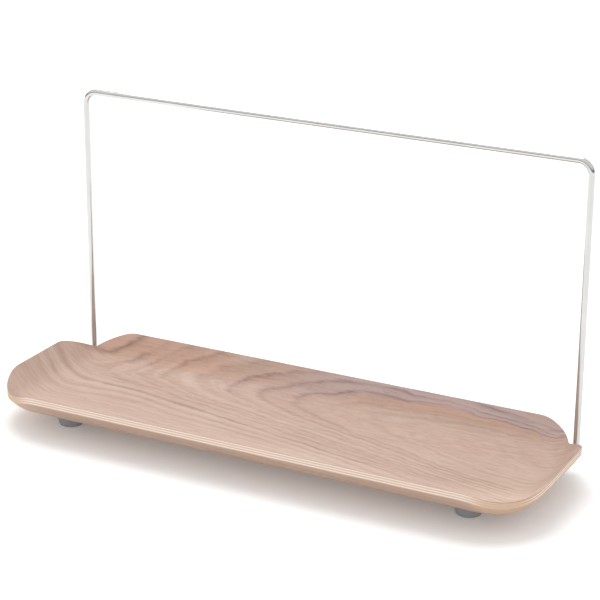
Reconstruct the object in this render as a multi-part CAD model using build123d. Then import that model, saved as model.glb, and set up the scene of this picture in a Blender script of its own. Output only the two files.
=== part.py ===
from build123d import *
import math
import os

# Long, shallow tray of moulded plywood on four rubber feet. A steel rod, bent to a rectangular arch, stands in the
# notches of its two back corners, turns in under the floor and is held there by two saddle clips.
# Millimetres. +X is the long way, +Y the back, +Z up. The origin is on the ground, under the tray's centre.

# ---- driving dimensions ----

# tray, trimmed straight down all round
rim_length = 360.4
rim_depth = 122.8
front_corner = 41.5
rim_height = 27.35
rim_slope = 45.0  # degrees from level
bend_radius = 23.4  # inner radius between the floor and the rim
floor_corner = 4.6  # of the flat floor; wider front corners make the rim dip there
face_veneer = 0.35
core_ply = 0.53

# back corner notches: two round lobes that meet in a small hollow round
lobe_radius = 25.9
lobe_start = 38.0  # from the corner of the plan to where its straight sides end
notch_round = 4.0

# steel rod arch
rod_diameter = 4.0
leg_spacing = 338.0
arch_height = 193.4
rod_bend = 8.0  # centre line radius
tail_length = 60.0  # from the leg to the rod's end, under the floor
tail_turn = 60.0  # degrees that the tail turns away from the tray's long way

# rubber feet
foot_height = 8.0
foot_spacing = (269.2, 59.6)
foot_top_diameter = 18.8
foot_base_diameter = 15.0
foot_edge_round = 1.4
foot_well_diameter = 7.0
washer_diameter = 9.6
washer_thickness = 0.8
washer_level = 3.6

# saddle clips
clip_thickness = 0.8
clip_width = 8.0
clip_ear = 6.0  # from the rod's axis to the screw
clip_from_leg = 52.0

# screws: all of them bite the same depth, short of the upper face
screw_bite = 2.4
screw_diameter = 2.9
screw_tip = 1.2
foot_screw_head = (5.6, 1.7)
clip_screw_head = (4.8, 1.4)
recess_width = 0.7
clearance_diameter = 3.3

# ---- derived dimensions ----

sheet = 2 * face_veneer + 5 * core_ply  # three long plies and two crossbands between the faces
floor_top = foot_height + sheet
slope = math.radians(rim_slope)
rim_rise = rim_height - floor_top
flat_run = (rim_rise - bend_radius * (1 - math.cos(slope))) / math.tan(slope)
rim_run = bend_radius * math.sin(slope) + flat_run
corner_x = rim_length / 2 - rim_run - floor_corner
corner_y = rim_depth / 2 - rim_run - floor_corner
leg_x = leg_spacing / 2
leg_y = (rim_depth - rim_length) / 2 + leg_x  # on the diagonal of the corner
rod_level = foot_height - rod_diameter / 2  # the tail touches the floor's underside
tail_x = tail_length * math.cos(math.radians(tail_turn))
tail_y = tail_length * math.sin(math.radians(tail_turn))
overrun = 9.0  # how far the layers are drawn past the rim before they are trimmed
headroom = 60.0


# ---- small helpers ----


def polar(centre, radius, angle):
    """The point at that radius and angle, in radians, from a centre."""
    return (centre[0] + radius * math.cos(angle), centre[1] + radius * math.sin(angle))


def arc_about(centre, start, end):
    """The shorter arc from start to end about a centre."""
    radius = math.dist(centre, start)
    middle = math.atan2(start[1] + end[1] - 2 * centre[1], start[0] + end[0] - 2 * centre[0])
    return ThreePointArc(start, polar(centre, radius, middle), end)


def mirrored(part):
    return mirror(part, about=Plane.YZ)


def cylinder(diameter, low, high, x=0.0, y=0.0):
    """An upright cylinder from one level to another."""
    return Pos(x, y, low) * extrude(Circle(diameter / 2), high - low)


# ---- the moulded sheet ----


def section_line(depth, reach):
    """The edges and end point of the sheet's section at a depth below its upper face, from a corner's axis out."""
    radius = bend_radius + depth
    centre = (floor_corner, floor_top + bend_radius)
    start = (0.0, floor_top - depth)
    bend_start = (floor_corner, floor_top - depth)
    bend_end = polar(centre, radius, slope - math.pi / 2)
    tip = polar(bend_end, flat_run / math.cos(slope) + reach, slope)
    edges = [Line(start, bend_start), arc_about(centre, bend_start, bend_end), Line(bend_end, tip)]
    return edges, start, tip


def dish(section):
    """A dish with that radial section: four turned corners, four straight sides and the floor between them."""
    profile = Plane.XZ * section
    corner = Pos(corner_x, corner_y, 0) * revolve(profile, Axis.Z, 90)
    side = Rot(0, 0, 90) * profile
    long_side = Pos(-corner_x, corner_y, 0) * extrude(side, 2 * corner_x, dir=(1, 0, 0))
    short_side = Pos(corner_x, -corner_y, 0) * extrude(profile, 2 * corner_y, dir=(0, 1, 0))
    axis_edge = [edge for edge in section.edges() if abs(edge.center().X) < 1e-6][0].bounding_box()
    low, high = axis_edge.min.Y, axis_edge.max.Y
    floor = Pos(0, 0, low) * extrude(Rectangle(2 * corner_x, 2 * corner_y), high - low)
    right = corner + short_side + mirror(corner, about=Plane.XZ)
    return floor + long_side + mirror(long_side, about=Plane.XZ) + right + mirrored(right)


def layer(upper, lower):
    """The whole dish between two depths, drawn a little past the rim."""
    top_edges, top_start, top_tip = section_line(upper, overrun)
    low_edges, low_start, low_tip = section_line(lower, overrun)
    return dish(make_face(top_edges + low_edges + [Line(top_start, low_start), Line(top_tip, low_tip)]))


def space_above(depth):
    """Everything above the sheet's section at that depth."""
    edges, start, tip = section_line(depth, overrun)
    walls = [Line(tip, (tip[0], headroom)), Line((tip[0], headroom), (0, headroom)), Line((0, headroom), start)]
    return dish(make_face(edges + walls))


def outline():
    """The plan of the tray: rounded at the front, with a notch in each back corner."""
    half_x, half_y = rim_length / 2, rim_depth / 2
    back_lobe = (half_x - lobe_start, half_y - lobe_radius)
    end_lobe = (half_x - lobe_radius, half_y - lobe_start)
    # the hollow between the lobes is symmetrical about the corner's diagonal
    middle = (lobe_start + lobe_radius) / 2
    half_apart = (lobe_start - lobe_radius) / math.sqrt(2)
    inset = middle - math.sqrt(((lobe_radius + notch_round) ** 2 - half_apart**2) / 2)
    hollow = (half_x - inset, half_y - inset)
    meet = [
        polar(lobe, lobe_radius, math.atan2(hollow[1] - lobe[1], hollow[0] - lobe[0]))
        for lobe in (back_lobe, end_lobe)
    ]
    back_start = (back_lobe[0], half_y)
    end_start = (half_x, end_lobe[1])
    front_centre = (half_x - front_corner, front_corner - half_y)
    front_end = (half_x, front_centre[1])
    front_start = (front_centre[0], -half_y)
    right = [
        Line((0, half_y), back_start),
        arc_about(back_lobe, back_start, meet[0]),
        arc_about(hollow, meet[0], meet[1]),
        arc_about(end_lobe, meet[1], end_start),
        Line(end_start, front_end),
        arc_about(front_centre, front_end, front_start),
        Line(front_start, (0, -half_y)),
    ]
    left = [mirror(edge, about=Plane.YZ) for edge in right]
    return make_face(right + left)


def plies(holes):
    """The seven layers of the sheet, from the upper face down, each with its screw holes."""
    core = ["upper_long_ply", "upper_crossband", "centre_ply", "lower_crossband", "lower_long_ply"]
    names = ["top_face_veneer"] + core + ["bottom_face_veneer"]
    thicknesses = [face_veneer] + [core_ply] * len(core) + [face_veneer]
    blank = extrude(outline(), headroom)
    layers = {}
    depth = 0.0
    for name, thickness in zip(names, thicknesses):
        layers[name] = layer(depth, depth + thickness) & blank
        for hole in holes:
            layers[name] -= hole
        depth += thickness
    return layers


# ---- the rod ----


def wire_arch():
    """One round rod: tail, knee, leg, top bar, leg, knee, tail."""
    top = arch_height - rod_diameter / 2
    right = [
        (leg_x - tail_x, leg_y - tail_y, rod_level),
        (leg_x, leg_y, rod_level),
        (leg_x, leg_y, top),
    ]
    left = [(-x, y, z) for x, y, z in reversed(right)]
    path = FilletPolyline(*right, *left, radius=rod_bend)
    start = Plane(origin=path @ 0, z_dir=path % 0)
    rod = sweep(start * Circle(rod_diameter / 2), path)
    ends = [
        edge
        for edge in rod.edges()
        if min((edge.bounding_box().center() - end).length for end in (path @ 0, path @ 1)) < rod_diameter / 10
    ]
    return chamfer(ends, rod_diameter / 10)


# ---- screws ----


def screw(head, seat, tip, x=0.0, y=0.0):
    """A pan head screw that points up: its head hangs below the seat and its point ends at the tip."""
    head_diameter, head_height = head
    corner = head_height / 2
    radius = screw_diameter / 2
    profile = make_face(
        [
            Line((0, seat - head_height), (head_diameter / 2 - corner, seat - head_height)),
            arc_about(
                (head_diameter / 2 - corner, seat - corner),
                (head_diameter / 2 - corner, seat - head_height),
                (head_diameter / 2, seat - corner),
            ),
            Line((head_diameter / 2, seat - corner), (head_diameter / 2, seat)),
            Line((head_diameter / 2, seat), (radius, seat)),
            Line((radius, seat), (radius, tip - screw_tip)),
            Line((radius, tip - screw_tip), (0, tip)),
            Line((0, tip), (0, seat - head_height)),
        ]
    )
    body = revolve(Plane.XZ * profile, Axis.Z)
    slot = Rectangle(head_diameter * 0.55, recess_width)
    cross = Pos(0, 0, seat - head_height) * extrude(slot + Rot(0, 0, 90) * slot, head_height * 0.55)
    return Pos(x, y, 0) * (body - cross)


# ---- feet ----


def foot_body(x, y):
    """A tapered rubber foot, pressed up against the underside, with a well for its screw and a buried washer."""
    base = foot_base_diameter / 2
    top = foot_top_diameter / 2
    flare = (top - base) / foot_height
    high = foot_height * 2
    profile = make_face(
        Polyline((0, 0), (base, 0), (base + flare * high, high), (0, high), close=True)
    )
    body = revolve(Plane.XZ * profile, Axis.Z)
    body = fillet(body.edges().sort_by(Axis.Z)[0], foot_edge_round)
    body -= cylinder(foot_well_diameter, 0, washer_level)
    body -= cylinder(washer_diameter, washer_level, washer_level + washer_thickness)
    body -= cylinder(clearance_diameter, washer_level, high)
    return Pos(x, y, 0) * body - space_above(sheet)


def foot_washer(x, y):
    ring = Circle(washer_diameter / 2) - Circle(clearance_diameter / 2)
    return Pos(x, y, washer_level) * extrude(ring, washer_thickness)


# ---- saddle clips ----


def saddle_clip():
    """A strap bent over the rod, with an ear on each side. Its section is drawn across the rod, at the origin."""
    inner = rod_diameter / 2
    outer = inner + clip_thickness
    ear_end = clip_ear + clip_width / 2
    ear = Pos(0, foot_height - clip_thickness / 2) * Rectangle(2 * ear_end, clip_thickness)
    rise = foot_height - rod_level
    wrap = Pos(0, rod_level) * Circle(outer) + Pos(0, rod_level + rise / 2) * Rectangle(2 * outer, rise)
    hollow = Pos(0, rod_level) * Circle(inner) + Pos(0, rod_level + rise / 2) * Rectangle(2 * inner, rise)
    strap = extrude(Plane.YZ * (ear + wrap - hollow), clip_width / 2, both=True)
    rounded = extrude(SlotOverall(2 * ear_end, clip_width), foot_height)
    strap &= Rot(0, 0, 90) * rounded
    for side in (-1, 1):
        strap -= cylinder(clearance_diameter, 0, foot_height, 0, side * clip_ear)
    return strap


def clip_parts():
    """The right-hand clip and its two screws, in place on the rod's tail."""
    along = clip_from_leg / tail_length
    place = Pos(leg_x - along * tail_x, leg_y - along * tail_y, 0) * Rot(0, 0, tail_turn)
    tip = foot_height + screw_bite
    screws = [
        place * screw(clip_screw_head, foot_height - clip_thickness, tip, 0, side * clip_ear) for side in (-1, 1)
    ]
    return place * saddle_clip(), screws


# ---- the whole object ----


def build():
    """Every node of the object, by name."""
    nodes = {}
    screws = []
    clip, clip_screws = clip_parts()
    for side, place in (("right", lambda part: part), ("left", mirrored)):
        pair = [place(one) for one in clip_screws]
        nodes[f"saddle_clip_{side}"] = place(clip)
        nodes[f"clip_screws_{side}"] = Compound([solid for one in pair for solid in one.solids()])
        screws += pair
    for row, y in (("front", -foot_spacing[1] / 2), ("rear", foot_spacing[1] / 2)):
        for side, x in (("left", -foot_spacing[0] / 2), ("right", foot_spacing[0] / 2)):
            fastener = screw(foot_screw_head, washer_level, foot_height + screw_bite, x, y)
            nodes[f"foot_{row}_{side}"] = foot_body(x, y)
            nodes[f"foot_washer_{row}_{side}"] = foot_washer(x, y)
            nodes[f"foot_screw_{row}_{side}"] = fastener
            screws.append(fastener)
    nodes["wire_arch"] = wire_arch()
    nodes.update(plies(screws))
    return nodes


os.makedirs("parts", exist_ok=True)
for name, part in build().items():
    export_step(part, f"parts/{name}.step")
    print(name, round(part.volume, 1))
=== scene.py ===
import math

import bpy
from mathutils import Matrix, Vector

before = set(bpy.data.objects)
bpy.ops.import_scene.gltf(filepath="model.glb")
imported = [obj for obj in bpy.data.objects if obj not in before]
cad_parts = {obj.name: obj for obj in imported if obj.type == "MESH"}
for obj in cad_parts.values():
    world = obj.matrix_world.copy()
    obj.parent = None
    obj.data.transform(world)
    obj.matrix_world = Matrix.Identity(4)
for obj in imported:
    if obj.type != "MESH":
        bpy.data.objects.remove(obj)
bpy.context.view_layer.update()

# Moulded plywood tray with a steel wire arch. Inside the materials every length is in millimetres, in the CAD
# frame, so that the veneer's figure, the layers of the ply edge and the wear have their real scale.

# ---- the tray's shape, as the materials need it (mm) ----

HALF_X, HALF_Y = 180.2, 61.4
RIM_RUN = 25.69  # plan width of the raised rim
RIM_EXTRA = 5.6  # how much longer the rim is along its surface than in plan
FLOOR_CORNER = 4.6  # plan radius of the flat floor's corners
FLOOR_TOP = 11.35  # height of the floor's upper face
BEND_RADIUS = 23.4  # between floor and rim, at the upper face
SLOPE = math.radians(45)  # of the rim
FRONT_CORNER = 41.5  # plan radius of the two front corners
FACE, INNER = 0.35, 0.53  # thickness of a face veneer and of a core ply


# ---- a short way to write shader nodes ----

MM_PER_METRE = 1000.0
MIX_A, MIX_B, MIX_OUT = 2, 3, 0  # sockets of the Mix node, for numbers
MIX_COLOUR_A, MIX_COLOUR_B, MIX_COLOUR_OUT = 6, 7, 2  # and for colours
SCREEN_MAX = 255


class Value:
    """A number or colour that varies over the surface. Numbers can be added, multiplied and so on."""

    def __init__(self, look, socket):
        self.look = look
        self.socket = socket

    def __add__(self, other):
        return self.look.math("ADD", self, other)

    def __sub__(self, other):
        return self.look.math("SUBTRACT", self, other)

    def __rsub__(self, other):
        return self.look.math("SUBTRACT", other, self)

    def __mul__(self, other):
        return self.look.math("MULTIPLY", self, other)

    def __truediv__(self, other):
        return self.look.math("DIVIDE", self, other)

    def __abs__(self):
        return self.look.math("ABSOLUTE", self)

    def at_least(self, limit):
        return self.look.math("MAXIMUM", self, limit)

    def at_most(self, limit):
        return self.look.math("MINIMUM", self, limit)

    def sign(self):
        return self.look.math("SIGN", self)

    def root(self):
        return self.look.math("SQRT", self)

    def floor(self):
        return self.look.math("FLOOR", self)

    def fraction(self):
        return self.look.math("FRACT", self)

    def rounded(self, radius):
        """The size of the number, with the kink at 0 rounded off."""
        return (self * self + radius**2).root() - radius

    def smooth(self, low, high, to_low=0.0, to_high=1.0):
        """A smooth step from to_low to to_high as the number goes from low to high."""
        made = self.look.node("MapRange", interpolation_type="SMOOTHSTEP")
        for socket, number in zip(made.inputs, (self, low, high, to_low, to_high)):
            self.look.feed(socket, number)
        return Value(self.look, made.outputs[0])


class Look:
    """A material that is being made. Its methods take Values, numbers and colours."""

    def __init__(self, name):
        self.material = bpy.data.materials.new(name)
        self.material.use_nodes = True
        self.tree = self.material.node_tree
        self.tree.nodes.clear()
        self.shader = self.node("BsdfPrincipled")
        output = self.node("OutputMaterial")
        self.tree.links.new(self.shader.outputs[0], output.inputs["Surface"])

    def node(self, kind, **settings):
        made = self.tree.nodes.new("ShaderNode" + kind)
        for key, value in settings.items():
            setattr(made, key, value)
        return made

    def feed(self, socket, value):
        if isinstance(value, Value):
            self.tree.links.new(value.socket, socket)
        else:
            socket.default_value = value

    def math(self, operation, *values):
        made = self.node("Math", operation=operation)
        for socket, value in zip(made.inputs, values):
            self.feed(socket, value)
        return Value(self, made.outputs[0])

    def noise(self, where, detail, roughness):
        """Noise around 0.5, at a place given as three numbers."""
        joined = self.node("CombineXYZ")
        for socket, value in zip(joined.inputs, where):
            self.feed(socket, value)
        return self.noise_node(Value(self, joined.outputs[0]), "Vector", detail, roughness, "3D")

    def noise_along(self, where, detail, roughness):
        """Noise around 0.5 that depends on one number only."""
        return self.noise_node(where, "W", detail, roughness, "1D")

    def noise_node(self, where, socket, detail, roughness, dimensions):
        made = self.node("TexNoise", noise_dimensions=dimensions)
        self.feed(made.inputs[socket], where)
        for name, value in (("Scale", 1.0), ("Detail", detail), ("Roughness", roughness)):
            made.inputs[name].default_value = value
        return Value(self, made.outputs[0])

    def per_step(self, value):
        """A fixed random number for each whole number."""
        made = self.node("TexWhiteNoise", noise_dimensions="1D")
        self.feed(made.inputs["W"], value.floor())
        return Value(self, made.outputs["Value"])

    def mix(self, amount, a, b):
        """Colour a, with this amount of colour b in it."""
        made = self.node("Mix", data_type="RGBA")
        self.feed(made.inputs["Factor"], amount)
        self.feed(made.inputs[MIX_COLOUR_A], a)
        self.feed(made.inputs[MIX_COLOUR_B], b)
        return Value(self, made.outputs[MIX_COLOUR_OUT])

    def ramp(self, value, *stops):
        """Colours by value, each stop given as the value and its colour."""
        made = self.node("ValToRGB")
        elements = made.color_ramp.elements
        while len(elements) < len(stops):
            elements.new(0.5)
        for element, (position, colour) in zip(elements, stops):
            element.position = position
            element.color = colour
        self.feed(made.inputs[0], value)
        return Value(self, made.outputs[0])

    def parts(self, vector):
        apart = self.node("SeparateXYZ")
        self.tree.links.new(vector, apart.inputs[0])
        return [Value(self, socket) for socket in apart.outputs]

    def place(self):
        """x, y and z of the surface point, in millimetres."""
        scaled = self.node("VectorMath", operation="SCALE")
        self.tree.links.new(self.node("TexCoord").outputs["Object"], scaled.inputs[0])
        scaled.inputs["Scale"].default_value = MM_PER_METRE
        return self.parts(scaled.outputs[0])

    def normal(self):
        """x, y and z of the surface normal."""
        return self.parts(self.node("NewGeometry").outputs["Normal"])

    def set(self, **values):
        """Inputs of the shader, by name, with _ for each space."""
        for name, value in values.items():
            self.feed(self.shader.inputs[name.replace("_", " ")], value)

    def bump(self, height, distance_mm, strength):
        made = self.node("Bump")
        self.feed(made.inputs["Height"], height)
        made.inputs["Distance"].default_value = distance_mm / MM_PER_METRE
        made.inputs["Strength"].default_value = strength
        self.tree.links.new(made.outputs[0], self.shader.inputs["Normal"])


def length(a, b):
    return (a * a + b * b).root()


def linear(channel):
    """One channel of a colour, from its screen value, 0 to 255, to the shader's linear value."""
    share = channel / SCREEN_MAX
    return share / 12.92 if share < 0.04045 else ((share + 0.055) / 1.055) ** 2.4


def rgb(red, green, blue):
    """A colour given as it looks on a screen, 0 to 255."""
    return (linear(red), linear(green), linear(blue), 1.0)


# ---- veneer ----

PALE = rgb(197, 173, 159)
MIDDLE = rgb(191, 165, 151)
ROSY = rgb(187, 158, 145)
TAN = rgb(178, 149, 133)
BROWN = rgb(132, 102, 88)
GREYED = rgb(190, 167, 167)
MAUVE = rgb(104, 82, 90)
APRICOT = rgb(200, 160, 139)
PORE = rgb(122, 95, 82)
# colour of the sanded cut edge, also mixed into the faces as painted light
SANDED_AND_LIT_PALE = rgb(222, 196, 177)
OILED = rgb(212, 178, 148)
HONEY = rgb(190, 158, 131)
GLUE = rgb(190, 156, 132)

CURL = 3.2  # strength of the grain's sway across the sheet, mm
WANDER = 14.0  # strength of the heart line's sway, mm
LEFT_DROP, RIGHT_DROP = 12.0, 9.0  # how far the heart line sinks at the ends, mm
TIP_BELOW, TIP_ABOVE = 60.0, 4.0  # how blunt the tips of the arches are, below and above the heart line, mm
LEAN = 0.104  # growth for each mm along the heart line, which makes the arches long
RING_WIDTH = 2.45  # growth from ring to ring
RING_START = 0.67  # moves the rings along the heart line, in rings
SPREAD_FROM, SPREAD = 5.5, 0.6  # above the line at the right, the rings past this growth lie further apart
OUTER_FROM = 16.0  # growth past which the rings widen
INNER_PACE, OUTER_PACE = 0.8, 0.62  # share of the rings that is left below a growth of 0 and past OUTER_FROM
WEAR_FROM, WEAR_FULL = 6.5, 4.5  # how far inside the corner's outline the wear starts and is complete, mm


def unrolled(along, edge):
    """Distance along the surface rather than in plan, so that the figure isn't stretched on the rims."""
    share = (abs(along) - edge).at_least(0.0) / RIM_RUN
    return along + share * share * RIM_EXTRA * along.sign()


class Veneer(Look):
    """Flat-sawn, bleached walnut: nested arches about a heart line, straight grain away from it, open pores.

    seed: picks the figure
    heart: y of its heart line
    turn: -1 where the sheet is turned over, otherwise 1
    edge: colour of the cut across the grain at the round corners
    warmth: amount of honey tone
    mottle: strength of the light and dark flakes
    """

    def __init__(self, name, seed, heart, turn, edge, warmth, mottle):
        super().__init__(name)
        self.seed = seed
        x, y, _ = self.place()
        self.u = unrolled(x, HALF_X - RIM_RUN) * turn
        self.v = unrolled(y, HALF_Y - RIM_RUN)
        self.v = self.v + (self.figure(0.075, 0.06, 29, 2.0, 0.55) - 0.5) * CURL
        ripple = self.figure(0.035, 0.12, 5, 3.0, 0.5)
        off = self.off_heart_line(heart)
        above_line = off.smooth(0.0, 7.0)
        ring = self.rings(off, above_line, ripple)
        bands = self.noise_along(ring * 1.7, 2.0, 0.5)
        # fibres and pores run straight along the sheet; cloud is the slow drift of its tone
        fibre = self.figure(0.035, 0.8, 9, 3.0, 0.6)
        pores = self.figure(0.16, 2.0, 13, 2.0, 0.55).smooth(0.58, 0.74) * bands.smooth(0.3, 0.6, 0.3, 1.0)
        cloud = self.figure(0.014, 0.04, 21, 3.0, 0.5)

        base = self.ramp(cloud, (0.3, PALE), (0.5, MIDDLE), (0.72, ROSY))
        base = self.banded(base, ring, bands, mottle)
        base = self.lined(base, ring, above_line, cloud)
        base = self.mix(fibre.smooth(0.5, 0.8, 0.0, 0.36), base, BROWN)
        base = self.mix(fibre.smooth(0.5, 0.2, 0.0, 0.3), base, PALE)
        base = self.mix(pores * 0.42, base, PORE)
        base = self.mix(cloud.smooth(0.3, 0.7, warmth * 0.7, warmth * 1.3), base, HONEY)
        base = self.sanded(base, x, y, edge, fibre, ripple)
        self.set(Base_Color=base, Roughness=pores * 0.18 + 0.52, Specular_IOR_Level=0.35)
        self.bump(fibre * 0.35 + pores * -1.0, 0.02, 0.5)

    def figure(self, along, across, draw, detail, roughness):
        """Noise over the face, by its scale along and across the grain. draw picks a pattern of its own."""
        return self.noise((self.u * along, self.v * across, self.seed + draw), detail, roughness)

    def off_heart_line(self, heart):
        """Distance from the heart line, which sinks at both ends and wanders with the log's growth."""
        drop = self.u.smooth(-95.0, -175.0, 0.0, LEFT_DROP) + self.u.smooth(10.0, 180.0, 0.0, RIGHT_DROP)
        wander = self.figure(0.011, 0.022, 0, 2.0, 0.45)
        return self.v - (heart - drop) + (wander - 0.5) * WANDER

    def rings(self, off, above_line, ripple):
        """How many growth rings lie inside each point."""
        u = self.u
        # below the line the rings open out in wide arches; above it they leave flatter, most so at the right
        wide = off.at_most(0.0).rounded(TIP_BELOW)
        lift = u * 0.0034 + u * u * 0.00002 + 0.33
        flat = off.at_least(0.0).rounded(TIP_ABOVE) * lift
        feather = self.figure(0.045, 1.1, 7, 2.0, 0.6)
        growth = wide + flat - u * LEAN + (ripple - 0.5) * 1.9 + (feather - 0.5) * 1.2
        spread = u.smooth(-30.0, 40.0) * above_line * SPREAD
        growth = growth - (growth - SPREAD_FROM).at_least(0.0) * spread
        inner = growth.at_most(0.0) * INNER_PACE
        outer = (growth - OUTER_FROM).at_least(0.0) * OUTER_PACE
        middle = growth.at_least(0.0).at_most(OUTER_FROM)
        return (inner + outer + middle) / RING_WIDTH - RING_START

    def ring_line(self, ring):
        """Each ring darkens towards its sharp outer line, and some rings are much stronger than others."""
        thin = abs((ring + 0.5).fraction() - 0.5).smooth(0.0, 0.22, 1.0, 0.0)
        part = ring.fraction()
        halo = part.smooth(0.35, 1.0) * part.smooth(0.97, 1.0, 1.0, 0.0)
        chance = self.per_step(ring + 0.5 + self.seed * 10)
        strength = chance.smooth(0.1, 1.0, 0.35, 1.0) * ring.smooth(-0.9, -0.3, 0.3, 1.0)
        strength = strength * (ring.smooth(7.0, 10.0, 1.0, 0.55) * self.u.smooth(-135.0, -175.0, 1.0, 0.5))
        fade = self.figure(0.03, 0.05, 17, 2.0, 0.5)
        strength = strength * fade.smooth(0.38, 0.62, 0.35, 1.1)
        return (thin * 0.52 + halo * 0.42) * strength

    def banded(self, base, ring, bands, mottle):
        """Darker and lighter bands along the rings, flakes, painted shade towards the back and painted light
        towards the front.
        """
        u, v = self.u, self.v
        calm = ring.smooth(5.0, 11.0, 1.0, 0.5)
        base = self.mix(bands.smooth(0.38, 0.68, 0.0, 0.85) * calm, base, TAN)
        base = self.mix(bands.smooth(0.5, 0.3, 0.0, 0.5) * calm, base, PALE)
        flake = self.figure(0.1, 0.42, 25, 3.0, 0.6)
        # painted shade: darker and browner towards the back, and in a strip there, except at the left
        strip = v.smooth(28.0, 40.0, 0.0, 0.3) * v.smooth(51.0, 45.0)
        painted_shade = u.smooth(-90.0, -15.0) * (v.smooth(-5.0, 22.0, 0.0, 0.27) + strip)
        base = self.mix(flake.smooth(0.45, 0.7, 0.0, 0.34 * mottle) + painted_shade, base, TAN)
        # painted light: paler towards the front, and most at its right corner
        front = v.smooth(-17.0, -30.0, 0.0, 0.24) * v.smooth(-42.0, -35.0)
        painted_light_corner = u.smooth(120.0, 172.0, 0.0, 0.6) * v.smooth(0.0, -28.0)
        base = self.mix(front + painted_light_corner, base, SANDED_AND_LIT_PALE)
        return self.mix(flake.smooth(0.5, 0.3, 0.0, 0.36 * mottle), base, PALE)

    def lined(self, base, ring, above_line, cloud):
        """Ring lines; above the heart line, greyed heartwood with violet lines and warm wood at its left."""
        heartwood = self.u.smooth(-70.0, 30.0) * above_line * ring.smooth(-0.35, 0.05)
        warm = above_line * (1.0 - heartwood) * ring.smooth(-2.0, -0.5)
        base = self.mix(warm * cloud.smooth(0.35, 0.65, 0.08, 0.66), base, APRICOT)
        base = self.mix(heartwood * ring.smooth(2.6, 1.4, 0.4, 0.62), base, GREYED)
        depth = heartwood * 0.18 + warm * 0.3 + 0.7
        return self.mix(self.ring_line(ring) * depth, base, self.mix(heartwood, BROWN, MAUVE))

    def sanded(self, base, x, y, edge, fibre, ripple):
        """The cut edge, and the right front corner of the lower face, worn down to the ply by rounding it."""
        nx, _, nz = self.normal()
        cut = abs(nz).smooth(0.35, 0.1)
        round_corner = abs(nx).smooth(0.2, 0.5) * abs(nx).smooth(0.98, 0.8)
        base = self.mix(cut * 0.6, base, self.mix(round_corner, SANDED_AND_LIT_PALE, edge))
        corner_x = (x - (HALF_X - FRONT_CORNER)).at_least(0.0)
        corner_y = (y * -1.0 - (HALF_Y - FRONT_CORNER)).at_least(0.0)
        reach = length(corner_x, corner_y) + (ripple - 0.5) * 3.0
        arc = corner_x.smooth(4.0, 12.0) * corner_y.smooth(4.0, 12.0)
        facing_down = nz.smooth(-0.2, -0.4)
        worn = reach.smooth(FRONT_CORNER - WEAR_FROM, FRONT_CORNER - WEAR_FULL) * arc * facing_down
        return self.mix(worn * 0.85, base, self.mix(fibre, OILED, GLUE))


# ---- ply edge ----

CREAM = rgb(252, 232, 218)
BIRCH = rgb(246, 222, 206)
END_GRAIN = rgb(216, 192, 174)


def sheet_depth(look, x, y, z):
    """How deep a point lies below the sheet's upper face, in millimetres."""
    over_x = (abs(x) - (HALF_X - RIM_RUN - FLOOR_CORNER)).at_least(0.0)
    over_y = (abs(y) - (HALF_Y - RIM_RUN - FLOOR_CORNER)).at_least(0.0)
    past = (length(over_x, over_y) - FLOOR_CORNER).at_least(0.0)
    below = (FLOOR_TOP + BEND_RADIUS) - z
    turn = (look.math("ARCTAN2", past, below) - SLOPE).at_least(0.0)
    return length(past, below) * look.math("COSINE", turn) - BEND_RADIUS


def ply_edge(name, seed):
    """Sanded edge of pale ply: light layers, a thin dark line at each joint, darker where the grain ends."""
    look = Look(name)
    x, y, z = look.place()
    nx = look.normal()[0]
    layer = (sheet_depth(look, x, y, z) - FACE) / INNER
    part = layer.fraction()
    joint = part.smooth(0.0, 0.2, 1.0, 0.0).at_least(part.smooth(0.8, 1.0))
    # every second ply lies crosswise, so long grain and end grain change places from the front to the ends
    crossed = look.math("MODULO", layer, 2.0).floor()
    ends = abs(nx).smooth(0.35, 0.9)
    end_grain = abs((1.0 - crossed) - (1.0 - ends))
    speckle = look.noise((x * 0.9, y * 0.9, z * 5.0 + seed), 4.0, 0.65)
    streak = look.noise(((x + y) * 0.12, z * 3.2, seed + 3), 3.0, 0.6)
    base = look.mix(streak, CREAM, BIRCH)
    base = look.mix(end_grain * speckle.smooth(0.3, 0.7, 0.7, 1.0), base, END_GRAIN)
    base = look.mix(speckle.smooth(0.55, 0.8, 0.0, 0.25), base, END_GRAIN)
    base = look.mix(end_grain * ends * 0.6, base, GLUE)
    # the cut runs across the fibres of every ply on the round corners, so it takes up more oil there
    corner = abs(nx).smooth(0.1, 0.45) * abs(nx).smooth(0.98, 0.75)
    base = look.mix(corner * 0.75, base, OILED)
    base = look.mix(joint * 0.2, base, GLUE)
    look.set(Base_Color=base, Roughness=0.6, Specular_IOR_Level=0.3)
    look.bump(speckle * 0.6 + joint * -0.6, 0.03, 0.4)
    return look.material


# ---- metal and rubber ----

POLISHED = rgb(222, 222, 220)
SMUDGED = rgb(202, 202, 200)
# painted shade for the rod's lower part
SHADE_AT_FOOT = rgb(198, 199, 198)
ZINC_LIGHT = rgb(196, 196, 194)
ZINC_DARK = rgb(164, 165, 166)
RUBBER = rgb(158, 160, 163)
DUSTY = rgb(172, 173, 175)


def steel(name):
    """Polished stainless rod, with faint draw lines along it, slight smudges, and painted shade that darkens
    it towards the foot.
    """
    look = Look(name)
    x, y, z = look.place()
    smudge = look.noise((x * 0.05, y * 0.05, z * 0.05), 3.0, 0.6)
    drawn = look.noise((x * 1.4, y * 4.0, z * 0.08), 3.0, 0.6)
    # painted shade: the rod's colour darkens towards its foot
    foot = z.smooth(95.0, 15.0)
    colour = look.mix(foot, look.mix(smudge, POLISHED, SMUDGED), SHADE_AT_FOOT)
    look.set(Base_Color=colour, Metallic=1.0, Roughness=smudge * 0.1 + 0.1)
    look.bump(drawn, 0.01, 0.4)
    return look.material


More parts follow.
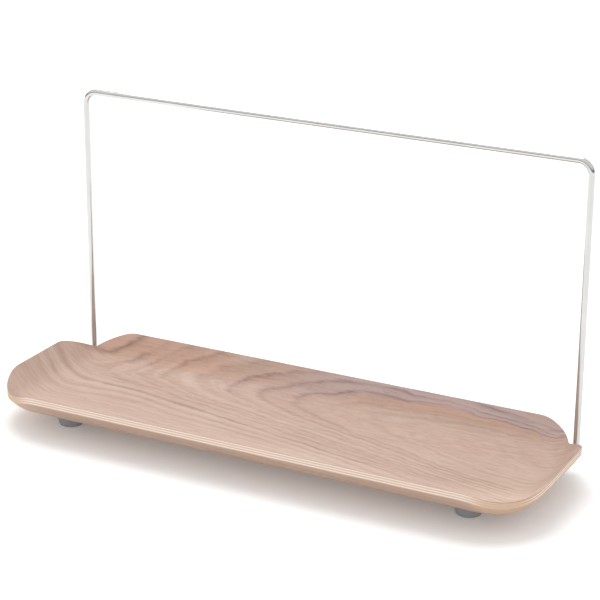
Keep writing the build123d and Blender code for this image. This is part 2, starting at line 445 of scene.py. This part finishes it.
def zinc(name):
    """Dull zinc plate: fine directional brushing and patchy grey."""
    look = Look(name)
    x, y, z = look.place()
    patch = look.noise((x * 0.5, y * 0.5, z * 0.5), 3.0, 0.6)
    brushed = look.noise((x * 0.8, y * 9.0, z * 4.0), 3.0, 0.6)
    colour = look.mix(patch, ZINC_LIGHT, ZINC_DARK)
    look.set(Base_Color=colour, Metallic=1.0, Roughness=brushed * 0.2 + 0.3)
    look.bump(brushed, 0.02, 0.5)
    return look.material


def rubber(name):
    """Grey moulded rubber: a fine matt grain, with a little dust in it."""
    look = Look(name)
    x, y, z = look.place()
    grain = look.noise((x * 4.0, y * 4.0, z * 4.0), 3.0, 0.6)
    dust = look.noise((x * 0.35, y * 0.35, z * 0.5), 4.0, 0.6)
    colour = look.mix(dust.smooth(0.35, 0.7), RUBBER, DUSTY)
    look.set(Base_Color=colour, Roughness=grain * 0.15 + 0.72, Specular_IOR_Level=0.3)
    look.bump(grain, 0.05, 0.6)
    return look.material


# ---- give every node its look ----

edge_look = ply_edge("ply_edge", seed=2.0)
zinc_look = zinc("zinc")
rubber_look = rubber("rubber")
upper = Veneer("face_veneer_upper", seed=3.0, heart=45.0, turn=1.0, edge=TAN, warmth=0.0, mottle=1.0)
lower = Veneer("face_veneer_lower", seed=47.0, heart=-8.0, turn=-1.0, edge=OILED, warmth=0.35, mottle=1.6)
looks = {
    "top_face_veneer": upper.material,
    "upper_long_ply": edge_look,
    "upper_crossband": edge_look,
    "centre_ply": edge_look,
    "lower_crossband": edge_look,
    "lower_long_ply": edge_look,
    "bottom_face_veneer": lower.material,
    "wire_arch": steel("steel_rod"),
    "foot_front_left": rubber_look,
    "foot_front_right": rubber_look,
    "foot_rear_left": rubber_look,
    "foot_rear_right": rubber_look,
}
for name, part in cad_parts.items():
    part.data.materials.clear()
    part.data.materials.append(looks.get(name, zinc_look))  # all the others are clips, screws and washers

# ---- floor, light and camera (metres from here on) ----

WHITE = (1.0, 1.0, 1.0, 1.0)
FLOOR_GREY, FLOOR_PALE = (0.9, 0.9, 0.9, 1.0), (0.92, 0.92, 0.92, 1.0)
FLOOR_REACH = 8.0
GLOW_FROM, GLOW_TO = 450.0, 1800.0  # mm from the origin, over which the floor's glow rises
GLOW_NEAR, GLOW_FAR = 0.14, 0.45
SKY = ((0.0, 0.8), (0.02, 0.2), (0.16, 0.2), (0.32, 0.88))  # height of a direction, and the light from there


def pale_floor():
    """A plain floor with a faint glow, which rises with distance so that it meets the white behind it."""
    look = Look("floor")
    x, y, _ = look.place()
    grain = look.noise((x * 0.01, y * 0.01, 0.0), 2.0, 0.5)
    look.set(Base_Color=look.mix(grain, FLOOR_GREY, FLOOR_PALE), Roughness=0.9, Specular_IOR_Level=0.0)
    glow = length(x, y).smooth(GLOW_FROM, GLOW_TO, GLOW_NEAR, GLOW_FAR)
    look.set(Emission_Color=WHITE, Emission_Strength=glow)
    reach = FLOOR_REACH
    corners = [(-reach, -reach, 0), (reach, -reach, 0), (reach, reach, 0), (-reach, reach, 0)]
    mesh = bpy.data.meshes.new("floor")
    mesh.from_pydata(corners, [], [(0, 1, 2, 3)])
    mesh.materials.append(look.material)
    made = bpy.data.objects.new("floor", mesh)
    bpy.context.scene.collection.objects.link(made)


def soft_light(name, where, target, size, watts):
    data = bpy.data.lights.new(name, "AREA")
    data.shape = "DISK"
    data.size = size
    data.energy = watts
    made = bpy.data.objects.new(name, data)
    bpy.context.scene.collection.objects.link(made)
    made.location = where
    made.rotation_euler = (Vector(target) - made.location).to_track_quat("-Z", "Y").to_euler()


def paint_world(world):
    """White to the camera. To the steel, a dark band low on the horizon, as in a studio with unlit walls."""
    world.use_nodes = True
    tree = world.node_tree
    background = tree.nodes["Background"]
    background.inputs["Color"].default_value = WHITE
    place = tree.nodes.new("ShaderNodeTexCoord")
    apart = tree.nodes.new("ShaderNodeSeparateXYZ")
    band = tree.nodes.new("ShaderNodeValToRGB")
    while len(band.color_ramp.elements) < len(SKY):
        band.color_ramp.elements.new(0.5)
    for element, (height, light) in zip(band.color_ramp.elements, SKY):
        element.position = height
        element.color = (light, light, light, 1.0)
    rays = tree.nodes.new("ShaderNodeLightPath")
    seen = tree.nodes.new("ShaderNodeMix")
    seen.inputs[MIX_B].default_value = 1.0
    tree.links.new(place.outputs["Generated"], apart.inputs[0])
    tree.links.new(apart.outputs[2], band.inputs[0])
    tree.links.new(rays.outputs["Is Camera Ray"], seen.inputs["Factor"])
    tree.links.new(band.outputs[0], seen.inputs[MIX_A])
    tree.links.new(seen.outputs[MIX_OUT], background.inputs["Strength"])


pale_floor()
world = bpy.data.worlds.new("studio")
bpy.context.scene.world = world
paint_world(world)
soft_light("overhead", where=(-0.35, 0.45, 1.5), target=(0, 0, 0), size=1.2, watts=14)

# the camera that was fitted to the photo
camera_data = bpy.data.cameras.new("camera")
camera_data.sensor_width = 36
camera_data.lens = 119.10
camera_data.clip_end = 50
camera = bpy.data.objects.new("camera", camera_data)
bpy.context.scene.collection.objects.link(camera)
camera.matrix_world = Matrix(
    (
        (0.88740882, -0.16295293, 0.43122144, 0.5161508),
        (0.46095494, 0.30329715, -0.83398524, -0.97780106),
        (0.00511211, 0.93885951, 0.34426252, 0.5011866),
        (0.0, 0.0, 0.0, 1.0),
    )
)
bpy.context.scene.camera = camera
bpy.context.scene.view_settings.view_transform = "Standard"
